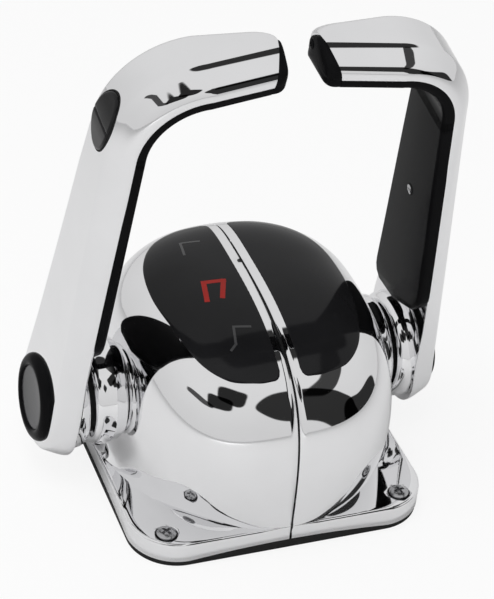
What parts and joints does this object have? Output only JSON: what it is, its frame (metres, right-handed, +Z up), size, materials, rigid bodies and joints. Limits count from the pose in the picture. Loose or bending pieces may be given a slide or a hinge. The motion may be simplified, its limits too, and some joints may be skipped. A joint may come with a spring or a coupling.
{
  "type": "boat throttle control lever",
  "caption": "Top-mount engine throttle and shift control for a boat: chromed domed housing on a square base with a gate-shaped pair of side levers, inlaid panels and a trim rocker.",
  "frame": {"origin": "centre of the square base, on the underside of its gasket", "axes": "+Z up out of the console, +Y towards the bow (lever ahead), +X to starboard along the pivot axis"},
  "size_m": [0.2242, 0.158, 0.2632],
  "materials": {
    "chrome": "polished",
    "panel_gloss": "gloss",
    "trim_black": "satin, fine grain",
    "black_rubber": "matte",
    "red_lens": "translucent, dull when unlit",
    "grey_mark": "satin",
    "cap_grey": "satin",
    "stainless": "polished stainless",
    "cast_frame": "as cast",
    "steel": "machined",
    "bronze": "machined",
    "inner_plastic": "moulded",
    "board_green": "solder mask",
    "lamp_clear": "diffuse"
  },
  "bodies": {
    "housing": {"base_gasket": "black_rubber", "base_plate": "cast_frame", "brake_blocks": "inner_plastic", "brake_screws": "steel", "control_board": "board_green", "detent_balls": "steel", "detent_barrels": "steel", "detent_springs": "steel", "flange_screws": "stainless", "frame_screws": "steel", "gear_marks": "grey_mark", "harness_grommet": "black_rubber", "harness_socket": "inner_plastic", "inner_bushes": "bronze", "mechanism_frame": "cast_frame", "neutral_lens": "red_lens", "outer_bushes": "bronze", "panel_lamps": "lamp_clear", "port_cover": "chrome", "port_panel": "panel_gloss", "seam_gasket": "black_rubber", "sensor_bodies": "inner_plastic", "shaft_seals": "black_rubber", "starboard_cover": "chrome", "starboard_panel": "panel_gloss"},
    "port_lever": {"port_lever_arm": "chrome", "port_arm_trim": "trim_black", "port_grip_trim": "trim_black", "port_grip_end": "trim_black", "port_trim_screws": "stainless", "port_lever_collar": "chrome", "port_clamp_screw": "steel", "port_clamp_washer": "steel", "port_cap_ring": "trim_black", "port_cap_disc": "cap_grey", "port_shaft": "steel", "port_brake_drum": "steel", "port_detent_wheel": "steel", "port_drive_gear": "steel", "rocker_pin": "steel", "switch_body": "inner_plastic"},
    "starboard_lever": {"starboard_lever_arm": "chrome", "starboard_arm_trim": "trim_black", "starboard_grip_trim": "trim_black", "starboard_grip_end": "trim_black", "starboard_trim_screws": "stainless", "starboard_lever_collar": "chrome", "starboard_clamp_screw": "steel", "starboard_clamp_washer": "steel", "starboard_cap_ring": "trim_black", "starboard_cap_disc": "cap_grey", "starboard_shaft": "steel", "starboard_brake_drum": "steel", "starboard_detent_wheel": "steel", "starboard_drive_gear": "steel"},
    "port_sensor": {"port_sensor_pinion": "inner_plastic"},
    "starboard_sensor": {"starboard_sensor_pinion": "inner_plastic"},
    "trim_rocker": {"trim_rocker": "trim_black"}
  },
  "joints": [
    {"name": "port_lever_turn", "type": "hinge", "parent": "housing", "child": "port_lever", "pos_m": [0, 0.02, 0.0405], "axis": [-1, 0, 0], "range_deg": [-50, 75]},
    {"name": "starboard_lever_turn", "type": "hinge", "parent": "housing", "child": "starboard_lever", "pos_m": [0, 0.02, 0.0405], "axis": [-1, 0, 0], "range_deg": [-50, 75]},
    {"name": "port_sensor_turn", "type": "hinge", "parent": "housing", "child": "port_sensor", "pos_m": [0, 0.005, 0.06648], "axis": [-1, 0, 0], "range_deg": [-150, 100]},
    {"name": "starboard_sensor_turn", "type": "hinge", "parent": "housing", "child": "starboard_sensor", "pos_m": [0, 0.005, 0.06648], "axis": [-1, 0, 0], "range_deg": [-150, 100]},
    {"name": "trim_rocker_tilt", "type": "hinge", "parent": "port_lever", "child": "trim_rocker", "pos_m": [-0.08721, -0.01304, 0.22612], "axis": [0, 0.9826, 0.1857], "range_deg": [-4, 4], "stiffness_Nm_per_rad": 0.3}
  ],
  "couplings": [
    {"joint": "port_sensor_turn", "follows": "port_lever_turn", "ratio": -2},
    {"joint": "starboard_sensor_turn", "follows": "starboard_lever_turn", "ratio": -2}
  ]
}
